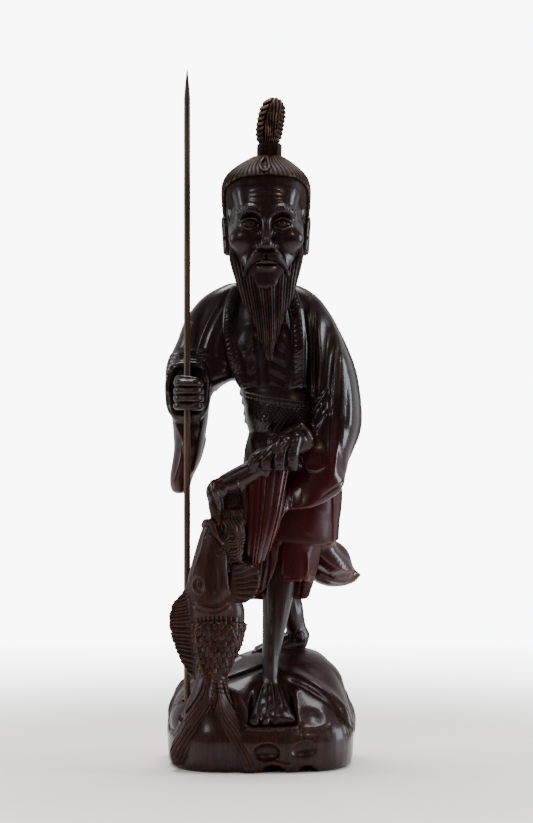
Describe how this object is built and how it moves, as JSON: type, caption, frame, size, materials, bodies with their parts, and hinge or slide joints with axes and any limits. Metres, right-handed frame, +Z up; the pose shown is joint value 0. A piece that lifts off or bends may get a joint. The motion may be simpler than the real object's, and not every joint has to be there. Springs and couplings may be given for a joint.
{
  "type": "carved wooden figurine",
  "caption": "Lacquered wooden carving of an old fisherman standing on a rock, holding a loose pole and a large fish on a cord.",
  "frame": {"origin": "centre of the rock's flat underside, where the figurine stands", "axes": "+Z up through the figurine; -Y the way the figure faces; +X to the figure's own left hand side"},
  "size_m": [0.0897, 0.0781, 0.316],
  "materials": {
    "robe_stain": "dark red-brown stain under glossy lacquer",
    "skin_stain": "dark red-brown stain under glossy lacquer, worn lighter on edges",
    "hair_stain": "dark stain, finely gouged, satin lacquer",
    "fish_stain": "red-brown stain, satin lacquer",
    "rock_stain": "dark red-brown stain under glossy lacquer",
    "pole_wood": "mid-brown stained stick, satin"
  },
  "bodies": {
    "figure": {"rock_base": "rock_stain", "right_leg": "skin_stain", "right_foot": "skin_stain", "left_leg": "skin_stain", "left_foot": "skin_stain", "breeches": "robe_stain", "robe_skirt": "robe_stain", "skirt_fold": "robe_stain", "robe_tail": "robe_stain", "robe_torso": "robe_stain", "waist_sash": "robe_stain", "right_lapel": "robe_stain", "left_lapel": "robe_stain", "right_sleeve": "robe_stain", "right_fist": "skin_stain", "left_sleeve": "robe_stain", "sleeve_fall": "robe_stain", "left_hand": "skin_stain", "carrying_cord": "fish_stain", "straw_wrap": "fish_stain", "fish_head": "fish_stain", "fish_body": "fish_stain", "dorsal_fin": "fish_stain", "pectoral_fin": "fish_stain", "tail_fin": "fish_stain", "head": "skin_stain", "ears": "skin_stain", "beard": "hair_stain", "hair_cap": "hair_stain", "hair_ring": "hair_stain", "topknot": "hair_stain"},
    "pole": {"pole": "pole_wood"}
  },
  "joints": [
    {"name": "pole_lift", "type": "slide", "parent": "figure", "child": "pole", "axis": [0, 0, 1], "range_m": [0, 0.165]}
  ]
}
